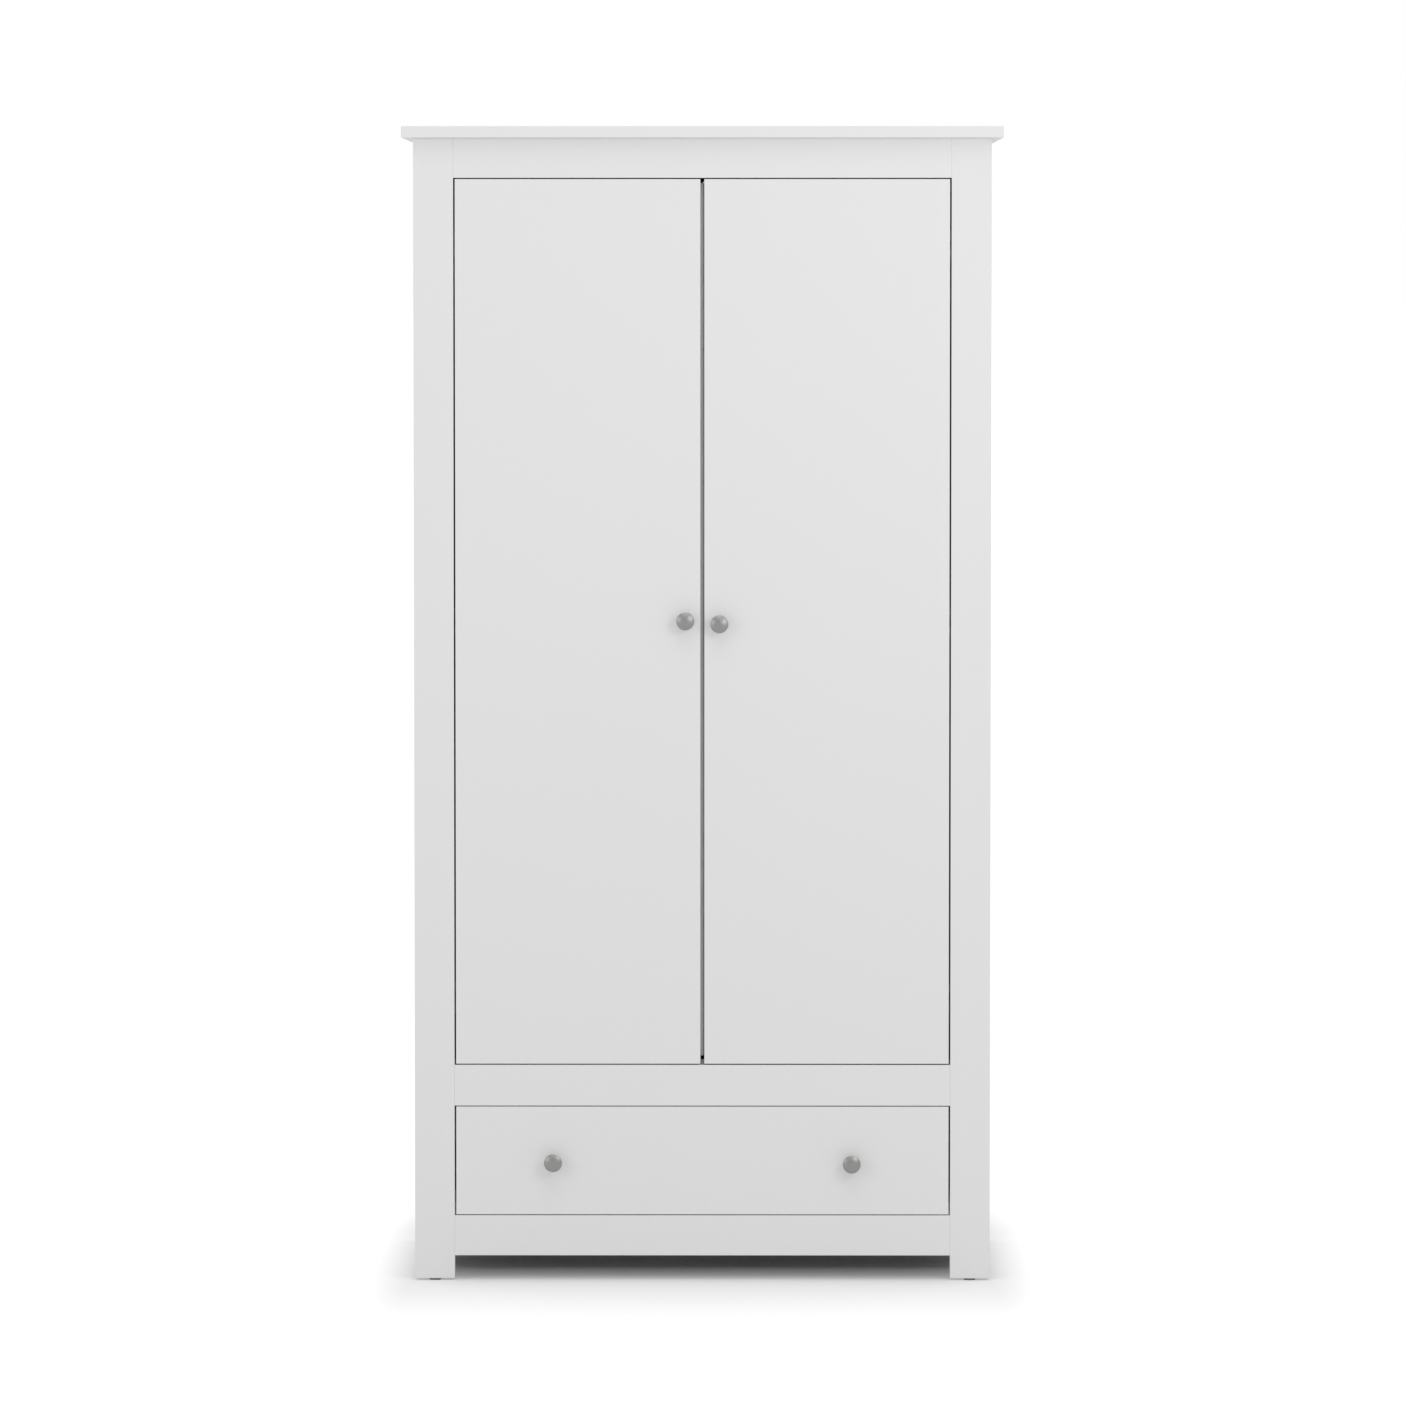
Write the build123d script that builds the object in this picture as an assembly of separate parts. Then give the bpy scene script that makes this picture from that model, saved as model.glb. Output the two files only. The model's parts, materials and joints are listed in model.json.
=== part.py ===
from build123d import *
import math
import os

# A free-standing two-door wardrobe with one drawer under the doors.
# Millimetres. +Z is up and the front faces -Y. The origin is on the floor,
# in the middle of the wardrobe's width and of its depth over the knobs.

# ---- driving dimensions -------------------------------------------------
HEIGHT = 1800.0
TOP_WIDTH = 934.0
TOP_OVERHANG_FRONT = 16.0
BODY_WIDTH = 898.0
BODY_DEPTH = 520.0
BOARD = 18.0              # thickness of the panels, doors and drawer front
EDGE = 0.8                # eased edges of the boards

STILE_WIDTH = 62.0
FRAME_THICK = 20.0        # stiles and rails, front to back
LEG_WIDTH = 45.0
LEG_THICK = 22.0
FOOT_CLEARANCE = 39.0     # floor to the underside of the bottom rail
GLIDE_THICK = 3.0
GLIDE_RADIUS = 9.0
BOTTOM_RAIL = 63.0
DRAWER_OPENING = 172.0
MID_RAIL = 64.0
TOP_RAIL = 62.0
REAR_RAIL = 62.0
HINGE_BATTEN = 70.0       # front to back

HINGE_GAP = 2.5
CENTRE_GAP = 6.0
DOOR_GAP = 1.8            # above and below the doors
DRAWER_GAP = 1.4          # above and below the drawer front
DRAWER_END_GAP = 2.5      # at each end of it
DOOR_STOP_LIP = 7.0       # the base board stands this far above the mid rail
STRIP_WIDTH = 21.3        # the strip behind the gap between the doors
STRIP_THICK = 3.0
STRIP_END_GAP = 6.0
STRIP_CLEAR = 1.2         # from the strip to the right door's edge

KNOB_REACH = 25.0
KNOB_RADIUS = 14.0
KNOB_FACE = 12.4          # radius of the domed face, inside the rounded rim
KNOB_DOME = 1.8
KNOB_NECK = 5.5
KNOB_FOOT = 8.5
DOOR_KNOB_INSET = 23.5    # from the door's free edge
DOOR_KNOB_HEIGHTS = {"left": 1032.0, "right": 1027.5}
DRAWER_KNOB_HEIGHTS = {"left": 186.0, "right": 184.0}
DRAWER_KNOB_SPREAD = 233.0
KNOB_SCREW_RADIUS = 2.0
KNOB_SCREW_GRIP = 9.0     # how far the screw goes into the knob

SHELF_TOP = 1538.0
SHELF_SETBACK = 20.0      # behind the hinge battens
HANG_HEIGHT = 1462.0
HANG_RADIUS = 12.5
HANG_WALL = 1.5
SOCKET_PLATE = 3.0
SOCKET_REACH = 14.0

BACK_THICK = 3.0
REBATE_DEPTH = 4.0
REBATE_WIDTH = 33.0
JOINT_STRIP = 14.0

BOX_GAP = 12.5            # from the drawer box to the runner batten
BOX_SIDE = 12.0
BOX_HEIGHT = 130.0
BOX_LENGTH = 450.0
BOX_FLOOR = 3.0
BOX_FLOOR_RISE = 10.0
BOX_CAM_RADIUS = 5.0
BOX_CAM_DEPTH = 10.0
BOX_CAM_INSET = 20.0      # from the drawer front to the cam's centre
BOX_BOLT_RADIUS = 2.5
GROOVE = 4.0
GROOVE_ROOM = 0.1
SHEET = 1.2               # sheet steel of the runners
RUNNER_BATTEN = 60.0
RUNNER_LENGTH = 448.0
ROLLER_RADIUS = 6.7
ROLLER_WIDTH = 6.0
ROLLER_CLEAR = 0.3
AXLE_RADIUS = 2.0
RUNNING_FIT = 0.05

CUP_RADIUS = 17.5
CUP_WALL = 1.3
CUP_INSET = 22.5          # door edge to the cup's centre
CUP_DEPTH = 12.0
CUP_FLANGE = 1.2
CUP_EARS = (15.0, 34.0)   # from the door's edge, with the screws between
CUP_EAR_REACH = 31.0      # above and below the cup's centre
HINGE_END = 100.0         # door end to the nearest hinge
PIN_RADIUS = 2.0
PIN_IN = 1.0              # link pin, from the door's edge
PIN_BACK = 23.5           # link pin, from the door's front face
EYE_RADIUS = 3.0
LINK_HALF = 5.0           # half of the link's width, along the pin
LINK_THICK = 2.6
LINK_TIP_RADIUS = 1.9     # the link's rolled end in the cup
PLATE_THICK = 2.5
PLATE_AT = 60.0           # plate's screws, from the door's front face
PLATE_HALF_DEPTH = 14.0
PLATE_HALF_HEIGHT = 24.0
ARM_FRONT = 36.0          # arm's front end, from the door's front face
ARM_PAST_PLATE = 22.0     # arm's rear end, behind the plate's screws
ARM_TOP = 9.0             # from the batten to the arm's far face
ARM_LOW = 5.0             # and to its near face
ARM_HALF = 8.0            # half of the arm's width

SCREW_RADIUS = 1.75
SCREW_HEAD = 1.0
NAIL_RADIUS = 0.8
NAIL_HEAD = 0.6
HOLE_ROOM = 0.06          # round every fastener
DOWEL_RADIUS = 4.0
DOWEL_REACH = 19.0
CAM_RADIUS = 7.5
CAM_DEPTH = 13.0
CAM_INSET = 24.0          # panel edge to the cam's centre
CAM_BOLT_RADIUS = 3.5
CAM_BOLT_REACH = 11.0
WALL_HOLE_RADIUS = 2.75
WALL_HOLE_SPREAD = 300.0

# ---- places worked out from them ----------------------------------------
FRONT = KNOB_REACH - (BODY_DEPTH + KNOB_REACH) / 2
BACK = FRONT + BODY_DEPTH
HALF = BODY_WIDTH / 2
OPEN_HALF = HALF - STILE_WIDTH
SIDE_INNER = HALF - BOARD
LEG_INNER = HALF - LEG_WIDTH
LEG_FRONT = BACK - LEG_THICK
REBATE = BACK - REBATE_DEPTH
CARCASS_TOP = HEIGHT - BOARD
DRAWER_LOW = FOOT_CLEARANCE + BOTTOM_RAIL
DRAWER_HIGH = DRAWER_LOW + DRAWER_OPENING
DOOR_LOW = DRAWER_HIGH + MID_RAIL
DOOR_HIGH = CARCASS_TOP - TOP_RAIL
BASE_TOP = DOOR_LOW + DOOR_STOP_LIP
BASE_LOW = BASE_TOP - BOARD
DOOR_BOTTOM = DOOR_LOW + DOOR_GAP
DOOR_TOP = DOOR_HIGH - DOOR_GAP
DOOR_BACK = FRONT + BOARD
DOOR_OUTER = OPEN_HALF - HINGE_GAP
DOOR_FREE = CENTRE_GAP / 2
FRAME_BACK = FRONT + FRAME_THICK
FRAME_MIDDLE = FRONT + FRAME_THICK / 2
BATTEN_BACK = FRAME_BACK + HINGE_BATTEN
SHELF_FRONT = BATTEN_BACK + SHELF_SETBACK
SHELF_LOW = SHELF_TOP - BOARD
HANG_AT = (DOOR_BACK + REBATE) / 2
BOX_OUTER = OPEN_HALF - BOX_GAP
BOX_INNER = BOX_OUTER - BOX_SIDE
BOX_LOW = DRAWER_LOW + BOARD
BOX_TOP = BOX_LOW + BOX_HEIGHT
BOX_BACK = DOOR_BACK + BOX_LENGTH
FLOOR_LOW = BOX_LOW + BOX_FLOOR_RISE
FLOOR_TOP = FLOOR_LOW + BOX_FLOOR
RUNNER_FRONT = FRAME_BACK + 2
ROLLER_AT = RUNNER_FRONT + 12
BOX_RUNNER_FRONT = DOOR_BACK + 4
BOX_RUNNER_BACK = BOX_BACK - 4
BOX_ROLLER_AT = BOX_RUNNER_BACK - 10
TRACK_TOP = BOX_LOW + 0.5             # top of the cabinet runner's lower flange
RAIL_LOW = BOX_LOW + 15.0             # underside of the drawer runner's flange
RUNNER_MIDDLE = (TRACK_TOP + RAIL_LOW) / 2 + 1
HINGE_HEIGHTS = (
    DOOR_BOTTOM + HINGE_END,
    (DOOR_BOTTOM + DOOR_TOP) / 2,
    DOOR_TOP - HINGE_END,
)
SIDES = {"left": -1, "right": 1}
UP, FORWARD, BACKWARD = (0, 0, 1), (0, -1, 0), (0, 1, 0)

made = {}                 # node name to its shape


# ---- shapes -------------------------------------------------------------
def block(x, y, z):
    """A box from three ranges, each given in any order."""
    (x0, x1), (y0, y1), (z0, z1) = sorted(x), sorted(y), sorted(z)
    size = (x1 - x0, y1 - y0, z1 - z0)
    return Location((x0, y0, z0)) * Box(*size, align=(Align.MIN, Align.MIN, Align.MIN))


def rod(start, direction, length, radius):
    """A cylinder from a point along a direction."""
    return extrude(Plane(origin=start, z_dir=direction) * Circle(radius), length)


def tube(start, direction, length, radius, bore):
    """A cylinder with a hole along it."""
    ring = Circle(radius) - Circle(bore)
    return extrude(Plane(origin=start, z_dir=direction) * ring, length)


def across(half):
    """An X range centred on the wardrobe."""
    return (-half, half)


def beside(side, near, far):
    """An X range on one side of the wardrobe, from its middle outwards."""
    return (side * near, side * far)


def board(x, y, z, cuts=()):
    """A board with eased edges, less its cuts and the holes for what joins it."""
    solid = block(x, y, z)
    solid = fillet(solid.edges(), EDGE)
    for cut in cuts:
        solid = solid - cut
    return bored(solid)


def group(solids):
    """Separate solids in one node."""
    return Compound(children=list(solids))


# ---- fasteners, each a (start, direction, length, radius) ----------------
def dowels():
    """Dowels between the rails and what stands at their ends, and along the side frames."""
    found = []
    front_rails = (
        (FOOT_CLEARANCE, DRAWER_LOW),
        (DRAWER_HIGH, DOOR_LOW),
        (DOOR_HIGH, CARCASS_TOP),
    )
    for side in SIDES.values():
        out = (side, 0, 0)
        for low, high in front_rails:
            for z in (low + 16, high - 16):
                start = (side * (OPEN_HALF - DOWEL_REACH), FRAME_MIDDLE, z)
                found.append((start, out, 2 * DOWEL_REACH, DOWEL_RADIUS))
        for z in (FOOT_CLEARANCE + REAR_RAIL / 2, CARCASS_TOP - REAR_RAIL / 2):
            start = (side * (LEG_INNER - DOWEL_REACH), (LEG_FRONT + REBATE) / 2, z)
            found.append((start, out, 2 * DOWEL_REACH, DOWEL_RADIUS))
        for z in (240, 900, 1500):
            x = side * (HALF - BOARD / 2)
            found.append(((x, FRAME_BACK - 12, z), BACKWARD, 34, DOWEL_RADIUS))
            found.append(((x, LEG_FRONT + 12, z), FORWARD, 34, DOWEL_RADIUS))
    return found


def cam_joints():
    """Where cams draw two panels together: (point on the panel's edge, way into the other, cam's axis)."""
    found = []
    for side in SIDES.values():
        out = (side, 0, 0)
        for y in (FRAME_BACK + 50, LEG_FRONT - 60):
            found.append(((side * SIDE_INNER, y, BASE_LOW + BOARD / 2), out, UP))
        for y in (BATTEN_BACK + 40, LEG_FRONT - 60):
            found.append(((side * (HALF - BOARD / 2), y, CARCASS_TOP), UP, out))
    return found


def cams():
    """The round cams, each sunk in a panel's face."""
    found = []
    for edge, into, axis in cam_joints():
        start = Vector(*edge) - Vector(*into) * CAM_INSET - Vector(*axis) * (BOARD / 2)
        found.append((tuple(start), axis, CAM_DEPTH, CAM_RADIUS))
    return found


def cam_bolts():
    """The bolts that the cams pull on."""
    inset = CAM_INSET - CAM_RADIUS
    found = []
    for edge, into, _ in cam_joints():
        start = Vector(*edge) - Vector(*into) * inset
        found.append((tuple(start), into, inset + CAM_BOLT_REACH, CAM_BOLT_RADIUS))
    return found


def carcass_screws():
    """Screws of the hinge plates, runners, battens and rail sockets, with their heads inside."""
    spots = []
    for side in SIDES.values():
        for z in HINGE_HEIGHTS:
            for step in (-16, 16):
                spots.append((side, OPEN_HALF - PLATE_THICK, FRONT + PLATE_AT, z + step, 16))
        for z in (640, 1240, 1690):
            spots.append((side, OPEN_HALF, FRAME_BACK + 50, z, 55))
        for y in (RUNNER_FRONT + 40, RUNNER_FRONT + 220, RUNNER_FRONT + 400):
            spots.append((side, OPEN_HALF - SHEET, y, RUNNER_MIDDLE, 16))
            spots.append((side, OPEN_HALF, y, BOX_LOW + 36, 55))
        for y in (SHELF_FRONT + 30, SHELF_FRONT + 170, LEG_FRONT - 40):
            spots.append((side, SIDE_INNER - BOARD, y, SHELF_LOW - BOARD / 2, 30))
        for step in (-20, 20):
            spots.append((side, SIDE_INNER - SOCKET_PLATE, HANG_AT, HANG_HEIGHT + step, 14))
    return [
        ((side * x, y, z), (side, 0, 0), length, SCREW_RADIUS)
        for side, x, y, z, length in spots
    ]


def back_nails():
    """Nails round the edges of the back panels, into the rear legs and rails."""
    rows = 8
    step = (CARCASS_TOP - FOOT_CLEARANCE - 80) / (rows - 1)
    spots = []
    for side in SIDES.values():
        for row in range(rows):
            spots.append((side * (HALF - 28), FOOT_CLEARANCE + 40 + row * step))
        for x in (60, 180, 360):
            spots.append((side * x, CARCASS_TOP - 14))
            spots.append((side * x, FOOT_CLEARANCE + 14))
    return [((x, REBATE + BACK_THICK, z), FORWARD, 18, NAIL_RADIUS) for x, z in spots]


def wall_holes():
    """Holes through the rear top rail and the back panels, for screws into a wall."""
    z = CARCASS_TOP - REAR_RAIL / 2
    length = LEG_THICK + 10
    return [
        ((side * WALL_HOLE_SPREAD, LEG_FRONT - 5, z), BACKWARD, length, WALL_HOLE_RADIUS)
        for side in SIDES.values()
    ]


FASTENERS = dowels() + cams() + cam_bolts() + carcass_screws() + back_nails()
FASTENER_HOLES = [rod(s, d, length, r + HOLE_ROOM) for s, d, length, r in FASTENERS]
HOLES = FASTENER_HOLES + [rod(*hole) for hole in wall_holes()]


def bored(solid):
    """The solid less every carcass hole that reaches into it."""
    size = solid.bounding_box()
    for hole in HOLES:
        if size.overlaps(hole.bounding_box()):
            solid = solid - hole
    return solid


def pan_screw(start, direction, length, radius):
    """A screw whose pan head stands on the surface at start, with a cross recess."""
    outward = Vector(*direction) * -1
    head = rod(start, tuple(outward), SCREW_HEAD, radius * 1.9)
    top = Plane(origin=Vector(*start) + outward * SCREW_HEAD, z_dir=direction).location
    recess = top * (Box(3.6, 0.8, 1.2) + Box(0.8, 3.6, 1.2))
    return rod(start, direction, length, radius) + head - recess


def nail(start, direction, length, radius):
    """A nail whose flat head stands on the back panel."""
    outward = tuple(Vector(*direction) * -1)
    return rod(start, direction, length, radius) + rod(start, outward, NAIL_HEAD, 2.2)


def slotted_cam(start, direction, length, radius):
    """A cam with a screwdriver slot in the face that shows."""
    slot = Plane(origin=start, z_dir=direction).location * Box(1.5 * radius, 0.27 * radius, 3)
    return rod(start, direction, length, radius) - slot


# ---- carcass ------------------------------------------------------------
def front_frame():
    """Two stiles that run down as the front feet, and the three rails between them."""
    depth = (FRONT, FRAME_BACK)
    for name, side in SIDES.items():
        width = beside(side, OPEN_HALF, HALF)
        made["front_stile_" + name] = board(width, depth, (GLIDE_THICK, CARCASS_TOP))
    made["bottom_rail"] = board(across(OPEN_HALF), depth, (FOOT_CLEARANCE, DRAWER_LOW))
    made["mid_rail"] = board(across(OPEN_HALF), depth, (DRAWER_HIGH, DOOR_LOW))
    made["top_rail"] = board(across(OPEN_HALF), depth, (DOOR_HIGH, CARCASS_TOP))


def sides_and_rear():
    """Side panels, rear legs rebated for the back, and the two rear rails."""
    height = (FOOT_CLEARANCE, CARCASS_TOP)
    for name, side in SIDES.items():
        panel = beside(side, SIDE_INNER, HALF)
        made["side_panel_" + name] = board(panel, (FRAME_BACK, LEG_FRONT), height)
        rebate = block(beside(side, LEG_INNER, LEG_INNER + REBATE_WIDTH), (REBATE, BACK), height)
        leg = beside(side, LEG_INNER, HALF)
        upright = (GLIDE_THICK, CARCASS_TOP)
        made["rear_leg_" + name] = board(leg, (LEG_FRONT, BACK), upright, [rebate])
    depth = (LEG_FRONT, REBATE)
    low, high = FOOT_CLEARANCE, CARCASS_TOP
    made["rear_bottom_rail"] = board(across(LEG_INNER), depth, (low, low + REAR_RAIL))
    made["rear_top_rail"] = board(across(LEG_INNER), depth, (high - REAR_RAIL, high))


def leg_notches(low, high):
    """The corners cut from a full-depth board to pass the rear legs."""
    return [
        block(beside(side, LEG_INNER, HALF), (LEG_FRONT, BACK), (low - 1, high + 1))
        for side in SIDES.values()
    ]


def horizontal_boards():
    """Top, base board and hat shelf, with the battens that carry the shelf."""
    top_depth = (FRONT - TOP_OVERHANG_FRONT, BACK)
    made["top_panel"] = board(across(TOP_WIDTH / 2), top_depth, (CARCASS_TOP, HEIGHT))
    notches = leg_notches(BASE_LOW, BASE_TOP)
    depth = (FRAME_BACK, REBATE)
    made["base_board"] = board(across(SIDE_INNER), depth, (BASE_LOW, BASE_TOP), notches)
    notches = leg_notches(SHELF_LOW, SHELF_TOP)
    depth = (SHELF_FRONT, REBATE)
    made["hat_shelf"] = board(across(SIDE_INNER), depth, (SHELF_LOW, SHELF_TOP), notches)
    battens = []
    for side in SIDES.values():
        width = beside(side, SIDE_INNER - BOARD, SIDE_INNER)
        height = (SHELF_LOW - BOARD, SHELF_LOW)
        battens.append(board(width, (SHELF_FRONT + 10, LEG_FRONT), height))
    made["shelf_battens"] = group(battens)


def battens():
    """The packers that bring hinges and runners level with the stiles' inner edges."""
    runner_battens = []
    for name, side in SIDES.items():
        width = beside(side, OPEN_HALF, SIDE_INNER)
        depth = (FRAME_BACK, BATTEN_BACK)
        made["hinge_batten_" + name] = board(width, depth, (BASE_TOP, CARCASS_TOP))
        low = DRAWER_LOW + 2
        depth = (FRAME_BACK, FRAME_BACK + RUNNER_LENGTH + 10)
        runner_battens.append(board(width, depth, (low, low + RUNNER_BATTEN)))
    made["runner_battens"] = group(runner_battens)


def back():
    """Two thin back panels and the H-shaped strip that joins them."""
    outer = LEG_INNER + REBATE_WIDTH - 0.5
    web = 0.9
    height = (FOOT_CLEARANCE + 2, CARCASS_TOP - 1)
    for name, side in SIDES.items():
        panel = block(beside(side, web, outer), (REBATE, REBATE + BACK_THICK), height)
        made["back_panel_" + name] = bored(panel)
    height = (FOOT_CLEARANCE + REAR_RAIL + 1, CARCASS_TOP - REAR_RAIL - 1)
    notch = (BASE_LOW - 1, BASE_TOP + 1)
    shelf_notch = (SHELF_LOW - 1, SHELF_TOP + 1)
    half = JOINT_STRIP / 2
    strip = block(across(half), (REBATE - 1, BACK), height)
    for side in SIDES.values():
        strip = strip - block(beside(side, 0.6, half), (REBATE, REBATE + BACK_THICK), height)
    for gap in (notch, shelf_notch):
        strip = strip - block(across(half), (REBATE - 1, REBATE), gap)
    made["back_joint_strip"] = strip


def hanging_rail():
    """The rail for hangers and the socket at each end of it."""
    length = 2 * (SIDE_INNER - SOCKET_PLATE - 1)
    start = (-length / 2, HANG_AT, HANG_HEIGHT)
    made["hanging_rail"] = tube(start, (1, 0, 0), length, HANG_RADIUS, HANG_RADIUS - HANG_WALL)
    sockets = []
    for side in SIDES.values():
        face = (side * SIDE_INNER, HANG_AT, HANG_HEIGHT)
        inward = (-side, 0, 0)
        plate = Plane(origin=face, z_dir=inward) * SlotOverall(54, 31, rotation=90)
        socket = extrude(plate, SOCKET_PLATE) + rod(face, inward, SOCKET_REACH, HANG_RADIUS + 3)
        mouth = (side * (SIDE_INNER - SOCKET_PLATE), HANG_AT, HANG_HEIGHT)
        sockets.append(bored(socket - rod(mouth, inward, SOCKET_REACH, HANG_RADIUS + 0.1)))
    made["rail_sockets"] = group(sockets)


def feet_and_bumpers():
    """A plastic glide under each foot, and the pads that the doors close against."""
    glides = []
    pads = []
    for side in SIDES.values():
        front_foot = (side * (HALF - STILE_WIDTH / 2), FRAME_MIDDLE, 0)
        rear_foot = (side * (HALF - LEG_WIDTH / 2), BACK - LEG_THICK / 2, 0)
        for foot in (front_foot, rear_foot):
            glide = rod(foot, UP, GLIDE_THICK, GLIDE_RADIUS)
            glides.append(fillet(glide.edges().sort_by(Axis.Z)[0], 1))
        face = (side * 40, FRAME_BACK, BASE_TOP - DOOR_STOP_LIP / 2)
        pads.append(rod(face, FORWARD, FRAME_BACK - DOOR_BACK - 0.4, 3))
    made["foot_glides"] = group(glides)
    made["door_bumpers"] = group(pads)


# ---- doors --------------------------------------------------------------
def knob(x, z):
    """A turned knob with a waisted neck, a rounded rim and a slightly domed face."""
    dome_radius = (KNOB_FACE**2 + KNOB_DOME**2) / (2 * KNOB_DOME)
    dome_angle = math.degrees(math.asin(KNOB_FACE / dome_radius))
    dome_low = KNOB_REACH - KNOB_DOME
    outline = Plane(origin=(x, FRONT, z), x_dir=(1, 0, 0), z_dir=(0, 0, -1))
    with BuildPart() as turned:
        with BuildSketch(outline):
            with BuildLine():
                foot = Line((0, 0), (KNOB_FOOT, 0))
                step = Line(foot @ 1, (KNOB_FOOT, 1.2))
                hollow = ThreePointArc(step @ 1, (KNOB_NECK, 7), (KNOB_NECK + 0.8, 13))
                flare = ThreePointArc(hollow @ 1, (KNOB_RADIUS - 4.4, 18.4), (KNOB_RADIUS - 0.4, 20.1))
                ThreePointArc(flare @ 1, (KNOB_RADIUS, 21.4), (KNOB_FACE, dome_low))
                dome = CenterArc((0, KNOB_REACH - dome_radius), dome_radius, 90, -dome_angle)
                Line(dome @ 0, (0, 0))
            make_face()
        revolve(axis=Axis((x, FRONT, z), FORWARD))
    hole_radius = KNOB_SCREW_RADIUS + HOLE_ROOM
    return turned.part - rod((x, FRONT, z), FORWARD, KNOB_SCREW_GRIP + 0.5, hole_radius)


def knob_screw(x, z):
    """The machine screw that holds a knob from behind the board."""
    length = BOARD + KNOB_SCREW_GRIP
    start = (x, DOOR_BACK, z)
    head = rod(start, BACKWARD, 2, 4)
    slot = Location((x, DOOR_BACK + 2, z)) * (Box(5, 1.6, 1) + Box(1, 1.6, 5))
    return rod(start, FORWARD, length, KNOB_SCREW_RADIUS) + head - slot


def screw_hole(x, z):
    """The hole for a knob's screw through a door or the drawer front."""
    return rod((x, DOOR_BACK + 1, z), FORWARD, BOARD + 2, KNOB_SCREW_RADIUS + HOLE_ROOM)


def inward(side, distance):
    """X at a distance in from a door's hinged edge."""
    return side * (DOOR_OUTER - distance)


def cup_screws(side):
    """The two screws of each hinge cup: (start, direction, length, radius)."""
    start_y = DOOR_BACK + CUP_FLANGE
    return [
        ((inward(side, CUP_INSET + 2), start_y, z + step), FORWARD, 13, SCREW_RADIUS)
        for z in HINGE_HEIGHTS
        for step in (-24, 24)
    ]


def hinge_cup(side, z):
    """A pressed cup with its two-eared flange on the back of the door."""
    centre = (inward(side, CUP_INSET), DOOR_BACK, z)
    cup = rod(centre, FORWARD, CUP_DEPTH - 0.2, CUP_RADIUS - 0.05)
    face = Plane(origin=centre, z_dir=BACKWARD)
    width = [inward(side, distance) for distance in CUP_EARS]
    ears = block(width, (DOOR_BACK, DOOR_BACK + CUP_FLANGE), (z - CUP_EAR_REACH, z + CUP_EAR_REACH))
    ears = fillet(ears.edges().filter_by(Axis.Y), 6)
    flange = extrude(face * Circle(CUP_RADIUS + 0.8), CUP_FLANGE) + ears
    mouth = (centre[0], DOOR_BACK + 5, z)
    hollow = rod(mouth, FORWARD, CUP_DEPTH + 5 - CUP_WALL, CUP_RADIUS - CUP_WALL)
    return cup + flange - hollow


def door(name, side):
    """One door with its knob, hinge cups and screws."""
    knob_x = side * (DOOR_FREE + DOOR_KNOB_INSET)
    knob_z = DOOR_KNOB_HEIGHTS[name]
    cuts = [screw_hole(knob_x, knob_z)]
    screws = cup_screws(side)
    for z in HINGE_HEIGHTS:
        centre = (inward(side, CUP_INSET), DOOR_BACK + 1, z)
        cuts.append(rod(centre, FORWARD, CUP_DEPTH + 1, CUP_RADIUS))
    cuts += [rod(s, d, length, r + HOLE_ROOM) for s, d, length, r in screws]
    width = beside(side, DOOR_FREE, DOOR_OUTER)
    made["door_" + name] = board(width, (FRONT, DOOR_BACK), (DOOR_BOTTOM, DOOR_TOP), cuts)
    made["knob_door_" + name] = knob(knob_x, knob_z)
    ear_holes = group(rod(s, d, length, r + HOLE_ROOM) for s, d, length, r in screws)
    cups = [hinge_cup(side, z) - ear_holes for z in HINGE_HEIGHTS]
    made["hinge_cups_" + name] = group(cups)
    heads = [pan_screw(*screw) for screw in screws]
    made["door_screws_" + name] = group(heads + [knob_screw(knob_x, knob_z)])


def gap_strip():
    """The strip on the left door that closes the view through the gap."""
    edge = DOOR_FREE - STRIP_CLEAR
    height = (BASE_TOP + STRIP_END_GAP, DOOR_TOP - STRIP_END_GAP)
    strip = block((edge - STRIP_WIDTH, edge), (DOOR_BACK, DOOR_BACK + STRIP_THICK), height)
    made["door_gap_strip"] = fillet(strip.edges(), EDGE / 2)


# ---- concealed hinges ---------------------------------------------------
def hinge_point(side, in_from_edge, back_from_front, z):
    """A point given from the door's closed front corner on its hinged side."""
    return (inward(side, in_from_edge), FRONT + back_from_front, z)


def hinge_plate(side, z):
    """The plate screwed to the batten, with wings above and below."""
    span = (FRONT + PLATE_AT - PLATE_HALF_DEPTH, FRONT + PLATE_AT + PLATE_HALF_DEPTH)
    height = (z - PLATE_HALF_HEIGHT, z + PLATE_HALF_HEIGHT)
    wings = block(beside(side, OPEN_HALF - PLATE_THICK, OPEN_HALF), span, height)
    wings = fillet(wings.edges().filter_by(Axis.X), 5)
    rise = beside(side, OPEN_HALF - ARM_LOW, OPEN_HALF - PLATE_THICK)
    spine = block(rise, (span[0] - 4, span[1] + 4), (z - 5, z + 5))
    return bored(wings + spine)


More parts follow.
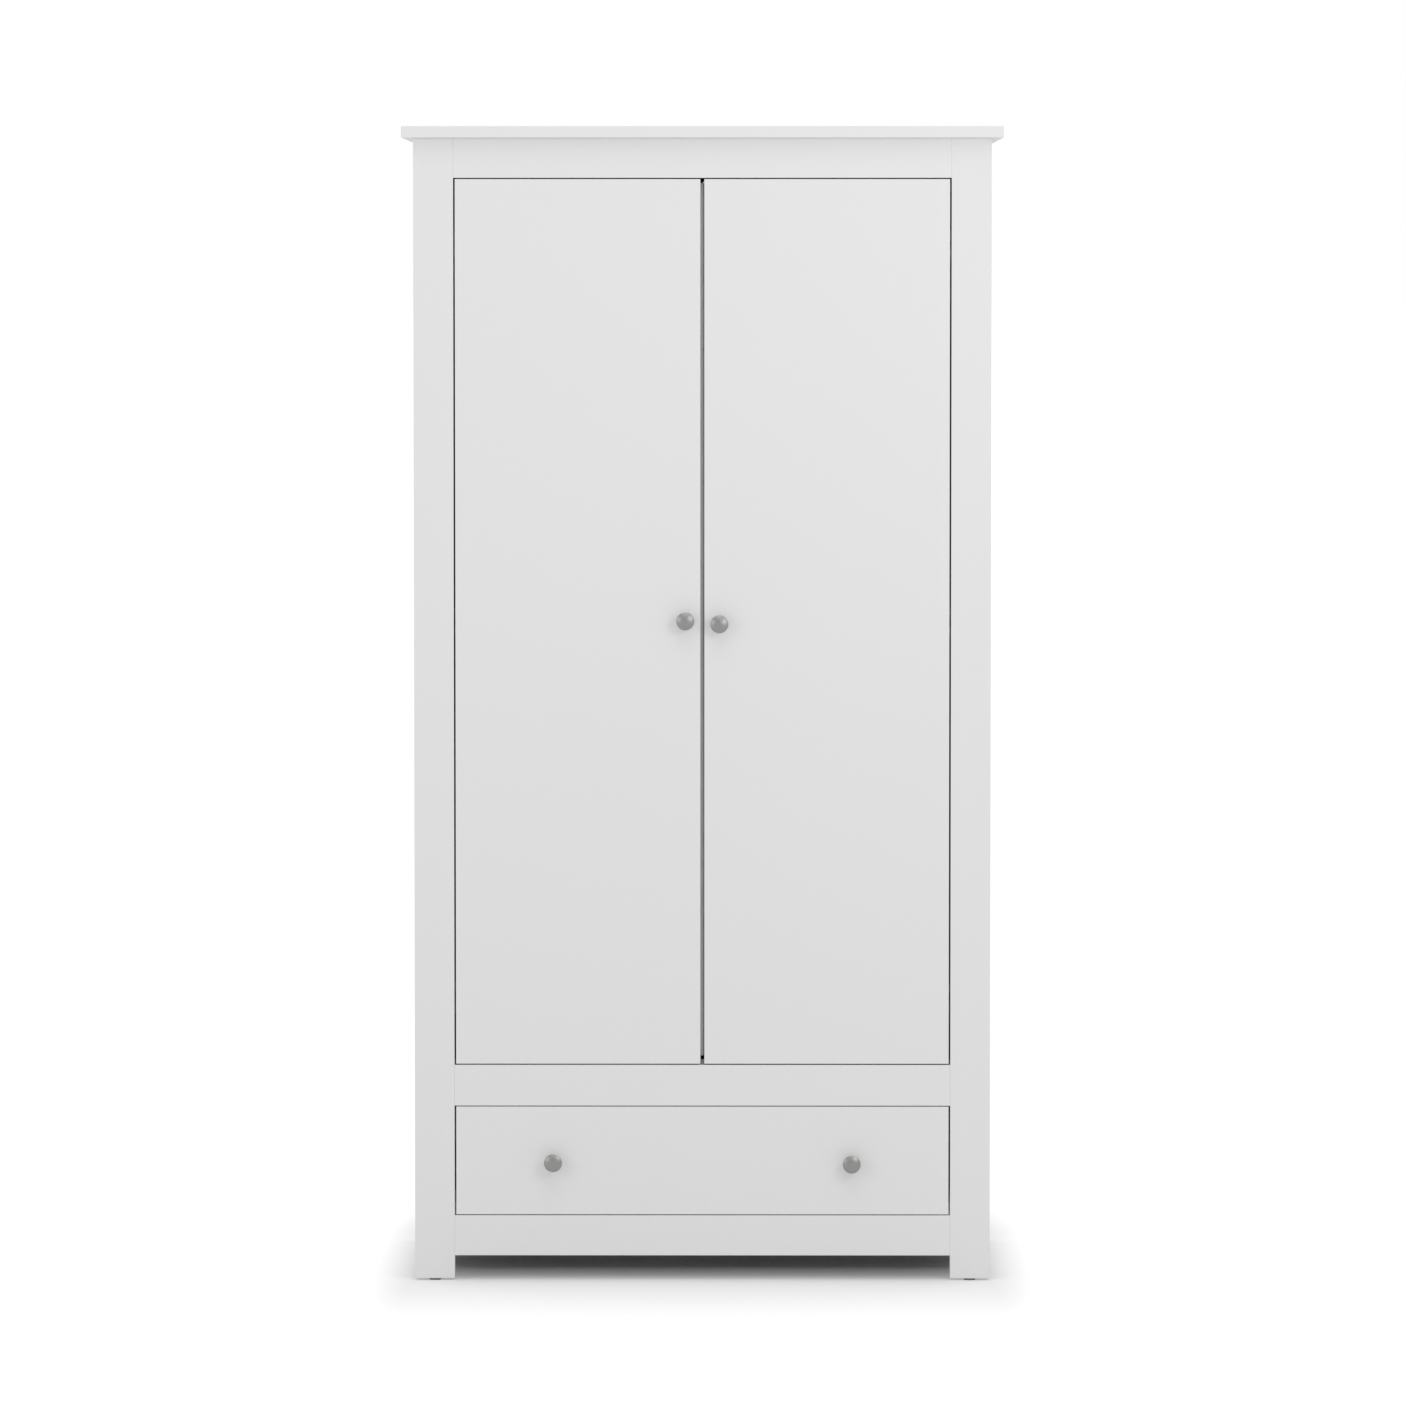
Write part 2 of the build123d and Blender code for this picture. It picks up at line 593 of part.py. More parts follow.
def hinge_arm(side, z):
    """The arm over the plate, ending in two ears that hold the link's pin."""
    top, low = OPEN_HALF - ARM_TOP, OPEN_HALF - ARM_LOW
    front, end = FRONT + ARM_FRONT, FRONT + PLATE_AT + ARM_PAST_PLATE
    arm = block(beside(side, top, low), (front, end), (z - ARM_HALF, z + ARM_HALF))
    pin_x, pin_y, _ = hinge_point(side, PIN_IN, PIN_BACK, z)
    nose = (pin_x - EYE_RADIUS, pin_x + EYE_RADIUS)
    to_batten = beside(side, top, OPEN_HALF - 0.2)
    for step in (-1, 1):
        cheek = (z + step * (LINK_HALF + 0.4), z + step * ARM_HALF)
        arm = arm + block(to_batten, (front, FRONT + PLATE_AT - PLATE_HALF_DEPTH - 5), cheek)
        arm = arm + block(nose, (pin_y, front + 4), cheek)
        arm = arm + rod((pin_x, pin_y, min(cheek)), UP, max(cheek) - min(cheek), EYE_RADIUS)
    arm = arm - block(nose, (pin_y, front), (z - LINK_HALF, z + LINK_HALF))
    screw = rod((side * (top + 3), FRONT + PLATE_AT, z), (-side, 0, 0), 4.2, 4)
    bore = rod((pin_x, pin_y, z - 10), UP, 20, PIN_RADIUS + 0.02)
    return arm + screw - bore


def hinge_pin(side, z):
    """The pin that the link turns on."""
    x, y, _ = hinge_point(side, PIN_IN, PIN_BACK, z)
    return rod((x, y, z - ARM_HALF), UP, 2 * ARM_HALF, PIN_RADIUS)


def hinge_link(side, z):
    """The hooked link from the arm's pin into the cup."""
    spots = ((PIN_IN, PIN_BACK), (10, 30.5), (28, 31.5), (35.5, 25), (34, 12.5))
    points = [hinge_point(side, *spot, z - LINK_HALF) for spot in spots]
    path = FilletPolyline(*points, radius=4)
    hook = extrude(trace(path, LINK_THICK), 2 * LINK_HALF, dir=UP)
    eye = rod(points[0], UP, 2 * LINK_HALF, EYE_RADIUS)
    tip = rod(points[-1], UP, 2 * LINK_HALF, LINK_TIP_RADIUS)
    return hook + eye + tip - rod(points[0], UP, 2 * LINK_HALF, PIN_RADIUS + RUNNING_FIT)


def hinges():
    """Plates, arms and pins on the battens, and a link on each pin."""
    spots = [(side, z) for side in SIDES.values() for z in HINGE_HEIGHTS]
    made["hinge_plates"] = group(hinge_plate(*spot) for spot in spots)
    made["hinge_arms"] = group(hinge_arm(*spot) for spot in spots)
    made["hinge_pins"] = group(hinge_pin(*spot) for spot in spots)
    for name, side in SIDES.items():
        made["hinge_links_" + name] = group(hinge_link(side, z) for z in HINGE_HEIGHTS)


# ---- drawer -------------------------------------------------------------
def drawer_box_screws():
    """Screws of the drawer box, from outside: runners to sides, and sides to back."""
    found = []
    for side in SIDES.values():
        inwards = (-side, 0, 0)
        for y in (BOX_RUNNER_FRONT + 50, BOX_RUNNER_BACK - 60):
            start = (side * (BOX_OUTER + SHEET), y, BOX_LOW + 8)
            found.append((start, inwards, 10, SCREW_RADIUS))
        for z in (BOX_LOW + 40, BOX_TOP - 30):
            start = (side * BOX_OUTER, BOX_BACK - BOX_SIDE / 2, z)
            found.append((start, inwards, 34, SCREW_RADIUS))
    return found


def drawer_cams():
    """Cams in the drawer sides, from outside, that draw the sides to the front."""
    y = DOOR_BACK + BOX_CAM_INSET
    return [
        ((side * BOX_OUTER, y, z), (-side, 0, 0), BOX_CAM_DEPTH, BOX_CAM_RADIUS)
        for side in SIDES.values()
        for z in (BOX_LOW + 34, BOX_TOP - 24)
    ]


def drawer_bolts():
    """The bolts from those cams into the drawer front."""
    length = BOX_CAM_INSET - BOX_CAM_RADIUS + CAM_BOLT_REACH
    found = []
    for (x, y, z), inwards, _, _ in drawer_cams():
        start = (x + inwards[0] * BOX_SIDE / 2, y - BOX_CAM_RADIUS, z)
        found.append((start, FORWARD, length, BOX_BOLT_RADIUS))
    return found


def drawer_bored(solid):
    """The solid less the holes for the drawer's own fasteners."""
    size = solid.bounding_box()
    for start, direction, length, radius in drawer_box_screws() + drawer_cams() + drawer_bolts():
        hole = rod(start, direction, length, radius + HOLE_ROOM)
        if size.overlaps(hole.bounding_box()):
            solid = solid - hole
    return solid


def drawer():
    """Front, sides, back and grooved bottom, with the front's two knobs."""
    floor_slot = (FLOOR_LOW, FLOOR_TOP + GROOVE_ROOM)
    groove_half = BOX_INNER + GROOVE
    front_groove = block(across(groove_half), (DOOR_BACK - GROOVE, DOOR_BACK + 1), floor_slot)
    knobs = {
        name: (side * DRAWER_KNOB_SPREAD, DRAWER_KNOB_HEIGHTS[name])
        for name, side in SIDES.items()
    }
    cuts = [front_groove] + [screw_hole(*spot) for spot in knobs.values()]
    height = (DRAWER_LOW + DRAWER_GAP, DRAWER_HIGH - DRAWER_GAP)
    front = board(across(OPEN_HALF - DRAWER_END_GAP), (FRONT, DOOR_BACK), height, cuts)
    made["drawer_front"] = drawer_bored(front)
    for name, side in SIDES.items():
        groove = block(beside(side, BOX_INNER - 1, groove_half), (DOOR_BACK, BOX_BACK), floor_slot)
        width = beside(side, BOX_INNER, BOX_OUTER)
        wall = block(width, (DOOR_BACK, BOX_BACK), (BOX_LOW, BOX_TOP)) - groove
        made["drawer_side_" + name] = drawer_bored(wall)
        made["knob_drawer_" + name] = knob(*knobs[name])
    height = (FLOOR_TOP + GROOVE_ROOM, BOX_TOP - 4)
    wall = block(across(BOX_INNER), (BOX_BACK - BOX_SIDE, BOX_BACK), height)
    made["drawer_back"] = drawer_bored(wall)
    depth = (DOOR_BACK - GROOVE + GROOVE_ROOM, BOX_BACK)
    floor_half = groove_half - GROOVE_ROOM
    made["drawer_bottom"] = block(across(floor_half), depth, (FLOOR_LOW + 0.05, FLOOR_TOP))
    fasteners = [pan_screw(*screw) for screw in drawer_box_screws()]
    fasteners += [knob_screw(*spot) for spot in knobs.values()]
    fasteners += [slotted_cam(*cam) for cam in drawer_cams()]
    fasteners += [rod(*bolt) for bolt in drawer_bolts()]
    made["drawer_fasteners"] = group(fasteners)


# ---- roller runners -----------------------------------------------------
def gap_x(side, low, high):
    """An X range in the gap beside the drawer, from the batten's face inwards."""
    return beside(side, OPEN_HALF - high, OPEN_HALF - low)


def cabinet_runner(side):
    """The channel on the batten, with the axle of its front roller."""
    depth = (RUNNER_FRONT, RUNNER_FRONT + RUNNER_LENGTH)
    low, high = TRACK_TOP - SHEET, RAIL_LOW + SHEET + 1
    web = block(gap_x(side, 0, SHEET), depth, (low, high + SHEET))
    track = block(gap_x(side, 0, 10), depth, (low, TRACK_TOP))
    cover = block(gap_x(side, 0, 10), depth, (high, high + SHEET))
    axle_z = RAIL_LOW - ROLLER_CLEAR - ROLLER_RADIUS
    face = (side * (OPEN_HALF - SHEET), ROLLER_AT, axle_z)
    axle = rod(face, (-side, 0, 0), 9.0, AXLE_RADIUS)
    collar = rod(face, (-side, 0, 0), 1.5, 3)
    end = rod((side * (OPEN_HALF - 9.4), ROLLER_AT, axle_z), (-side, 0, 0), 0.8, 3)
    return bored(web + track + cover + axle + collar + end)


def drawer_runner(side):
    """The angle under the drawer side, with its running flange and rear axle."""
    depth = (BOX_RUNNER_FRONT, BOX_RUNNER_BACK)
    wall = BOX_GAP - SHEET
    web = block(gap_x(side, wall, BOX_GAP), depth, (BOX_LOW - SHEET, RAIL_LOW + SHEET))
    rail = block(gap_x(side, 2.5, BOX_GAP), depth, (RAIL_LOW, RAIL_LOW + SHEET))
    under = block(gap_x(side, wall, BOX_GAP + BOX_SIDE), depth, (BOX_LOW - SHEET, BOX_LOW))
    axle_z = TRACK_TOP + ROLLER_CLEAR + ROLLER_RADIUS
    face = (side * (OPEN_HALF - wall), BOX_ROLLER_AT, axle_z)
    axle = rod(face, (side, 0, 0), wall - 2.6, AXLE_RADIUS)
    collar = rod(face, (side, 0, 0), 1.5, 3)
    return drawer_bored(web + rail + under + axle + collar)


def runners():
    """Both pairs of runners and their four rollers."""
    cabinet_z = RAIL_LOW - ROLLER_CLEAR - ROLLER_RADIUS
    drawer_z = TRACK_TOP + ROLLER_CLEAR + ROLLER_RADIUS
    bore = AXLE_RADIUS + RUNNING_FIT
    for name, side in SIDES.items():
        made["cabinet_runner_" + name] = cabinet_runner(side)
        made["drawer_runner_" + name] = drawer_runner(side)
        start = (side * (OPEN_HALF - 3.1), ROLLER_AT, cabinet_z)
        roller = tube(start, (-side, 0, 0), ROLLER_WIDTH, ROLLER_RADIUS, bore)
        made["cabinet_roller_" + name] = roller
        start = (side * (OPEN_HALF - 3.3), BOX_ROLLER_AT, drawer_z)
        roller = tube(start, (-side, 0, 0), ROLLER_WIDTH, ROLLER_RADIUS, bore)
        made["drawer_roller_" + name] = roller


# ---- the whole wardrobe -------------------------------------------------
front_frame()
sides_and_rear()
horizontal_boards()
battens()
back()
hanging_rail()
feet_and_bumpers()
for door_name, door_side in SIDES.items():
    door(door_name, door_side)
gap_strip()
hinges()
drawer()
runners()
made["dowels"] = group(rod(*fastener) for fastener in dowels())
made["cam_locks"] = group(slotted_cam(*fastener) for fastener in cams())
made["cam_bolts"] = group(rod(*fastener) for fastener in cam_bolts())
made["carcass_screws"] = group(pan_screw(*fastener) for fastener in carcass_screws())
made["back_nails"] = group(nail(*fastener) for fastener in back_nails())

os.makedirs("parts", exist_ok=True)
for node, shape in made.items():
    export_step(shape, "parts/" + node + ".step")
print(len(made), "nodes")
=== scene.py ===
import json
import math

import bmesh
import bpy
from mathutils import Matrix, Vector

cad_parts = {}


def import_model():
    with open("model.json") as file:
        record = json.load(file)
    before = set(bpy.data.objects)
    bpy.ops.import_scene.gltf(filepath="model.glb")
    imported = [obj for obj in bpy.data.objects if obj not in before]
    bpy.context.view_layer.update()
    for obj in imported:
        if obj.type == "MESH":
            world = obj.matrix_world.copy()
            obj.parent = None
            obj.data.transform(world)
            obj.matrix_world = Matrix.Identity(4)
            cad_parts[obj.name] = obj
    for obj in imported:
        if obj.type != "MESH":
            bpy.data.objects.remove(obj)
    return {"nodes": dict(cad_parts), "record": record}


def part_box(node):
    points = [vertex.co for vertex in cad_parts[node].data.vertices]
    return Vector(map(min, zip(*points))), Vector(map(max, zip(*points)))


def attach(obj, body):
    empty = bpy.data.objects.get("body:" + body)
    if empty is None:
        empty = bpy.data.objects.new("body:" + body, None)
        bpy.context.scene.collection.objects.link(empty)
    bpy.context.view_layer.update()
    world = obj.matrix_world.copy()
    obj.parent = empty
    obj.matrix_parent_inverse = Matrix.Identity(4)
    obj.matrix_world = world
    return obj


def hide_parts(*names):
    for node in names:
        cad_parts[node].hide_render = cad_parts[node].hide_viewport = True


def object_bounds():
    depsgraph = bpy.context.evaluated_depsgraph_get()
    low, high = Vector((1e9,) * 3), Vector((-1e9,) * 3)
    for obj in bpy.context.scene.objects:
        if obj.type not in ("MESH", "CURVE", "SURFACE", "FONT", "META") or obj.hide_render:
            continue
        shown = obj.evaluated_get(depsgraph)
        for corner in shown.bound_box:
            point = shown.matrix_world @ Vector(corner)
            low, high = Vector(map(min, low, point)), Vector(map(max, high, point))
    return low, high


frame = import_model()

cad_low, cad_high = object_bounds()

# A white two-door wardrobe with one drawer, on a plain pale floor. Metres.
# The front faces -Y, and the frame's origin is on the floor.

# ---- camera and light --------------------------------------------------------
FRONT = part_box("door_left")[0].y
EYE_DISTANCE = 12.0       # a long lens from far off, so that the uprights stay parallel
EYE_HEIGHT = 1.56
EYE_SIDE = 0.05           # to the right of the wardrobe's middle
AIM_SIDE = 0.001          # where it looks, from the middle of the front
AIM_LIFT = 0.004
FRAME_WIDTH = 2.1864      # what the picture takes in at the wardrobe's front
SENSOR = 36.0             # millimetres wide
FARTHEST_SEEN = 2000.0

# What the camera sees as white, and the weaker light that the same white gives.
BACKGROUND_SEEN = 1.0
BACKGROUND_LIGHT = 0.62
FLOOR_SEEN = 1.06
FLOOR_LIGHT = 0.79

# The floor's colour is painted grey as shadow near and under the wardrobe, over the real shadow
# there, and turns to plain white before and behind it. At the sides every distance is shorter,
# as FLOOR_SIDE_FADE is to FLOOR_FADE.
FLOOR_PAINTED_SHADOW_GREYS = (0.31, 0.80)    # deep under the wardrobe, and at its edge
FLOOR_DARKEST_AT = 0.24   # how far in from the edge it is darkest
FLOOR_FADE_IN = 0.17      # how far in from the edge it begins to turn white
FLOOR_FADE = 0.55         # how far out it is plain white
FLOOR_SIDE_FADE = 0.08
FLOOR_ROUGHNESS = 0.9
FLOOR_REACH = 400.0       # from the middle to each edge, so that it fills any view

# Soft lights: place, aim, size in metres, power in watts.
MIDDLE = (0, FRONT, 1.0)
LIGHTS = {
    "key": ((1.55, -2.45, 1.85), MIDDLE, 1.0, 11),
    "side": ((-3.6, -3.6, 2.0), MIDDLE, 2.0, 21),
    "front_high": ((0, -2.6, 4.6), MIDDLE, 2.5, 19),
    "overhead": ((0, 0, 5.0), (0, 0, 0), 5.0, 42),
    "back_left": ((-4.2, 3.6, 2.6), (0, 0, 0.9), 3.0, 45),
    "back_right": ((4.2, 3.6, 2.6), (0, 0, 0.9), 3.0, 45),
}


# ---- surfaces ----------------------------------------------------------------
# Hardboard is painted on one face and raw on the other.
PAINTED_WHITE = (0.76, 0.755, 0.745)
RAW_BROWNS = ((0.20, 0.115, 0.062), (0.27, 0.165, 0.092))
FIBRE_BROWN = (0.36, 0.235, 0.14)
SCREEN_PITCH = 0.0016     # of the pattern pressed into the raw face
FACE_CHANGE = 0.0005      # how soon, in its thickness, the paint gives way to raw board

BEECH_BROWNS = ((0.52, 0.34, 0.19), (0.70, 0.50, 0.31))
WAVE_UNIT = math.pi / 10  # the wave texture's scale for one wave in one metre

# The mix node has sockets for several kinds of data. These are the ones for colours.
MIX_FACTOR = 0
MIX_COLOURS = (6, 7)
MIX_RESULT = 2

KNOB_SIDES = 96           # around each turned knob


# ---- node helpers ------------------------------------------------------------
class Shader:
    """A material and its node tree, built one node at a time."""

    def __init__(self, name):
        self.material = bpy.data.materials.new(name)
        self.material.use_nodes = True
        self.tree = self.material.node_tree
        self.tree.nodes.clear()
        self.output = self.node("ShaderNodeOutputMaterial")
        self.surface = self.node("ShaderNodeBsdfPrincipled")
        self.link(self.surface.outputs["BSDF"], self.output.inputs["Surface"])
        self.place = self.node("ShaderNodeTexCoord").outputs["Object"]

    def node(self, kind, **settings):
        made = self.tree.nodes.new(kind)
        for key, value in settings.items():
            setattr(made, key, value)
        return made

    def link(self, start, end):
        self.tree.links.new(start, end)

    def set(self, **values):
        """Sets constant sockets of the surface, with spaces given as underscores."""
        for key, value in values.items():
            self.surface.inputs[key.replace("_", " ")].default_value = value

    def stretched(self, scale):
        """Object coordinates in metres, scaled by (x, y, z)."""
        mapping = self.node("ShaderNodeMapping")
        mapping.inputs["Scale"].default_value = scale
        self.link(self.place, mapping.inputs["Vector"])
        return mapping.outputs["Vector"]

    def vector(self, operation, first, second=None):
        """An operation on a node's vector and, for some operations, a constant one."""
        made = self.node("ShaderNodeVectorMath", operation=operation)
        self.link(first, made.inputs[0])
        if second is not None:
            made.inputs[1].default_value = second
        return made.outputs["Vector"]

    def length(self, vector):
        """The length of a node's vector."""
        made = self.node("ShaderNodeVectorMath", operation="LENGTH")
        self.link(vector, made.inputs[0])
        return made.outputs["Value"]

    def parts(self, vector):
        """The x, y and z of a node's vector."""
        made = self.node("ShaderNodeSeparateXYZ")
        self.link(vector, made.inputs[0])
        return made.outputs

    def number(self, operation, first, second):
        """An operation on a node's number and another one, or a constant."""
        made = self.node("ShaderNodeMath", operation=operation)
        self.link(first, made.inputs[0])
        if isinstance(second, float):
            made.inputs[1].default_value = second
        else:
            self.link(second, made.inputs[1])
        return made.outputs[0]

    def noise(self, scale, detail=2.0, roughness=0.5, where=None):
        """Noise from 0 to 1. The scale is about how many of its features fill a metre."""
        made = self.node("ShaderNodeTexNoise")
        made.inputs["Scale"].default_value = scale
        made.inputs["Detail"].default_value = detail
        made.inputs["Roughness"].default_value = roughness
        self.link(where or self.place, made.inputs["Vector"])
        return made.outputs["Fac"]

    def wave(self, pitch, direction):
        """A sine of a given pitch in metres along an axis, from 0 to 1."""
        made = self.node("ShaderNodeTexWave", bands_direction=direction)
        made.inputs["Scale"].default_value = WAVE_UNIT / pitch
        self.link(self.place, made.inputs["Vector"])
        return made.outputs["Fac"]

    def ranged(self, value, low, high, start=0.0, end=1.0):
        """A number mapped from start..end onto low..high, and held at both ends."""
        made = self.node("ShaderNodeMapRange")
        made.inputs["From Min"].default_value = start
        made.inputs["From Max"].default_value = end
        made.inputs["To Min"].default_value = low
        made.inputs["To Max"].default_value = high
        self.link(value, made.inputs["Value"])
        return made.outputs["Result"]

    def mixed(self, share, first, second):
        """A colour between two, each a constant or another node's output."""
        made = self.node("ShaderNodeMix", data_type="RGBA")
        for place, colour in zip(MIX_COLOURS, (first, second)):
            if isinstance(colour, tuple):
                made.inputs[place].default_value = (*colour, 1)
            else:
                self.link(colour, made.inputs[place])
        self.link(share, made.inputs[MIX_FACTOR])
        return made.outputs[MIX_RESULT]

    def bump(self, *layers):
        """Stacks bump layers, each (height, distance in metres, strength)."""
        normal = None
        for height, distance, strength in layers:
            made = self.node("ShaderNodeBump")
            made.inputs["Distance"].default_value = distance
            made.inputs["Strength"].default_value = strength
            self.link(height, made.inputs["Height"])
            if normal is not None:
                self.link(normal, made.inputs["Normal"])
            normal = made.outputs["Normal"]
        self.link(normal, self.surface.inputs["Normal"])


def shades(base, spread):
    """A darker and a lighter version of a colour."""
    return [tuple(c * (1 + sign * spread) for c in base) for sign in (-1, 1)]


# ---- materials ---------------------------------------------------------------
def lacquer(name, base, roughness, peel=0.35, mottle=0.012):
    """Sprayed satin lacquer on fine board: faint cloudiness and orange peel."""
    s = Shader(name)
    cloud = s.noise(1.7, detail=3)
    s.link(s.mixed(cloud, *shades(base, mottle)), s.surface.inputs["Base Color"])
    fine = s.noise(90, detail=2)
    s.link(s.ranged(fine, roughness - 0.04, roughness + 0.05), s.surface.inputs["Roughness"])
    s.bump((s.noise(420, detail=1), 0.00004, peel), (s.noise(38, detail=2), 0.0001, peel * 0.5))
    return s.material


def metal(name, base, roughness, grain=700, cloudy=0.03):
    """Plated metal: slightly uneven in tone and polish, with a very fine grain."""
    s = Shader(name)
    s.link(s.mixed(s.noise(45, detail=4), *shades(base, cloudy)), s.surface.inputs["Base Color"])
    s.set(Metallic=1.0)
    polish = s.ranged(s.noise(300, detail=3), roughness * 0.88, roughness * 1.12)
    s.link(polish, s.surface.inputs["Roughness"])
    s.bump((s.noise(grain, detail=3), 0.00001, 0.35))
    return s.material


def moulded(name, base, roughness):
    """Moulded plastic with a fine spark-eroded texture."""
    s = Shader(name)
    s.link(s.mixed(s.noise(20, detail=3), *shades(base, 0.03)), s.surface.inputs["Base Color"])
    polish = s.ranged(s.noise(500), roughness - 0.06, roughness + 0.06)
    s.link(polish, s.surface.inputs["Roughness"])
    s.bump((s.noise(1500, detail=2), 0.00003, 0.5))
    return s.material


def hardboard(name):
    """Thin fibreboard: painted on the face inside, raw brown with a screen pattern behind."""
    s = Shader(name)
    painted = s.mixed(s.noise(2.5, detail=3), *shades(PAINTED_WHITE, 0.015))
    fibres = s.ranged(s.noise(150, detail=6, roughness=0.7), 0, 0.6, 0.35, 0.7)
    raw = s.mixed(fibres, s.mixed(s.noise(6, detail=4), *RAW_BROWNS), FIBRE_BROWN)
    low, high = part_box("back_panel_left")
    middle = (low.y + high.y) / 2
    behind = s.ranged(s.parts(s.place)["Y"], 0, 1, middle, middle + FACE_CHANGE)
    s.link(s.mixed(behind, painted, raw), s.surface.inputs["Base Color"])
    s.link(s.ranged(behind, 0.5, 0.82), s.surface.inputs["Roughness"])
    screen = s.number("MULTIPLY", s.wave(SCREEN_PITCH, "X"), s.wave(SCREEN_PITCH, "Z"))
    pressed = s.number("MULTIPLY", screen, behind)
    s.bump((s.noise(420, detail=2), 0.00005, 0.4), (pressed, 0.0003, 0.7))
    return s.material


def beech(name):
    """Beech dowel wood with long grain and short flecks."""
    s = Shader(name)
    grain = s.noise(60, detail=5, where=s.stretched((1, 12, 12)))
    s.link(s.mixed(grain, *BEECH_BROWNS), s.surface.inputs["Base Color"])
    s.link(s.ranged(grain, 0.5, 0.7), s.surface.inputs["Roughness"])
    s.bump((grain, 0.0002, 0.4))
    return s.material


SLOT_MATERIALS = {
    "lacquered_board": lacquer("lacquered_board", (0.80, 0.80, 0.80), 0.38),
    "inner_board": lacquer("inner_board", (0.79, 0.79, 0.78), 0.46, peel=0.6),
    "drawer_wrap": lacquer("drawer_wrap", (0.78, 0.78, 0.77), 0.50, peel=0.5),
    "hardboard": hardboard("hardboard"),
    "satin_nickel": metal("satin_nickel", (0.36, 0.358, 0.354), 0.40, grain=2600),
    "plated_steel": metal("plated_steel", (0.68, 0.67, 0.65), 0.27),
    "screw_steel": metal("screw_steel", (0.66, 0.655, 0.64), 0.30),
    "cast_zinc": metal("cast_zinc", (0.55, 0.56, 0.57), 0.42),
    "bolt_steel": metal("bolt_steel", (0.62, 0.60, 0.52), 0.33),
    "chromed_tube": metal("chromed_tube", (0.76, 0.76, 0.76), 0.10, cloudy=0.01),
    "socket_zinc": metal("socket_zinc", (0.70, 0.70, 0.70), 0.16),
    "enamelled_steel": lacquer("enamelled_steel", (0.82, 0.82, 0.80), 0.30, peel=0.8),
    "roller_nylon": moulded("roller_nylon", (0.74, 0.74, 0.70), 0.45),
    "beech": beech("beech"),
    "white_plastic": moulded("white_plastic", (0.78, 0.78, 0.77), 0.40),
    "grey_plastic": moulded("grey_plastic", (0.15, 0.15, 0.152), 0.55),
    "soft_pad": moulded("soft_pad", (0.60, 0.60, 0.58), 0.35),
}


def dress_frame():
    """Gives every CAD node the material of its slot."""
    slots = {row["node"]: row["material_slot"] for row in frame["record"]["subparts"]}
    for name, node in frame["nodes"].items():
        node.data.materials.clear()
        node.data.materials.append(SLOT_MATERIALS[slots[name]])


# ---- pieces ------------------------------------------------------------------
def arc(first, middle, last, steps):
    """Points of the circular arc through three points (radius, reach), without its first point."""
    (ax, ay), (bx, by), (cx, cy) = first, middle, last
    twice = 2 * (ax * (by - cy) + bx * (cy - ay) + cx * (ay - by))
    a, b, c = ax * ax + ay * ay, bx * bx + by * by, cx * cx + cy * cy
    x = (a * (by - cy) + b * (cy - ay) + c * (ay - by)) / twice
    y = (a * (cx - bx) + b * (ax - cx) + c * (bx - ax)) / twice
    radius = math.hypot(ax - x, ay - y)
    start = math.atan2(ay - y, ax - x)
    sweep = math.remainder(math.atan2(cy - y, cx - x) - start, 2 * math.pi)
    angles = [start + sweep * step / steps for step in range(1, steps + 1)]
    return [(x + radius * math.cos(angle), y + radius * math.sin(angle)) for angle in angles]


def turned(built, outline, place):
    """A lathe-turned form about a -Y axis through place, from (radius, reach) points."""
    rings = []
    for radius, reach in outline:
        ring = []
        for side in range(KNOB_SIDES):
            angle = 2 * math.pi * side / KNOB_SIDES
            across, up = radius * math.cos(angle), radius * math.sin(angle)
            ring.append(built.verts.new((place.x + across, place.y - reach, place.z + up)))
        rings.append(ring)
    for near, far in zip(rings, rings[1:]):
        for side in range(KNOB_SIDES):
            other = (side + 1) % KNOB_SIDES
            built.faces.new((near[side], near[other], far[other], far[side]))
    built.faces.new(reversed(rings[0]))
    built.faces.new(rings[-1])


def finished(name, built, slot, body, node):
    """A piece in its slot's material that rides on a body and stands in for a CAD node."""
    bmesh.ops.recalc_face_normals(built, faces=built.faces)
    mesh = bpy.data.meshes.new(name)
    built.to_mesh(mesh)
    built.free()
    mesh.materials.append(SLOT_MATERIALS[slot])
    mesh.shade_smooth()
    piece = bpy.data.objects.new(name, mesh)
    bpy.context.scene.collection.objects.link(piece)
    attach(piece, body)
    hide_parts(node)


def knob(name, node, body):
    """A turned knob as large as the CAD one, with a fuller face."""
    low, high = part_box(node)
    radius, reach = (high.x - low.x) / 2, high.y - low.y
    foot, neck = 0.6 * radius, 0.4 * radius
    edge = 0.035 * radius
    # Each arc of the outline has a point that it passes through, its end and its steps.
    arcs = {
        "foot": ((foot, edge), (foot, 0.045 * reach), 4),
        "waist": ((neck, 0.30 * reach), (0.46 * radius, 0.54 * reach), 24),
        "flare": ((0.68 * radius, 0.72 * reach), (0.97 * radius, 0.80 * reach), 16),
        "rim": ((radius, 0.83 * reach), (0.96 * radius, 0.86 * reach), 10),
        "face": ((0.50 * radius, 0.964 * reach), (0.02 * radius, reach), 24),
    }
    outline = [(foot - edge, 0.0)]
    for middle, end, steps in arcs.values():
        outline += arc(outline[-1], middle, end, steps)
    built = bmesh.new()
    turned(built, outline, Vector(((low.x + high.x) / 2, high.y, (low.z + high.z) / 2)))
    finished(name, built, "satin_nickel", body, node)


def knobs():
    """One knob on each door and two on the drawer front."""
    for side in ("left", "right"):
        knob("knob_on_" + side + "_door", "knob_door_" + side, side + "_door")
        knob("drawer_knob_on_" + side, "knob_drawer_" + side, "drawer")


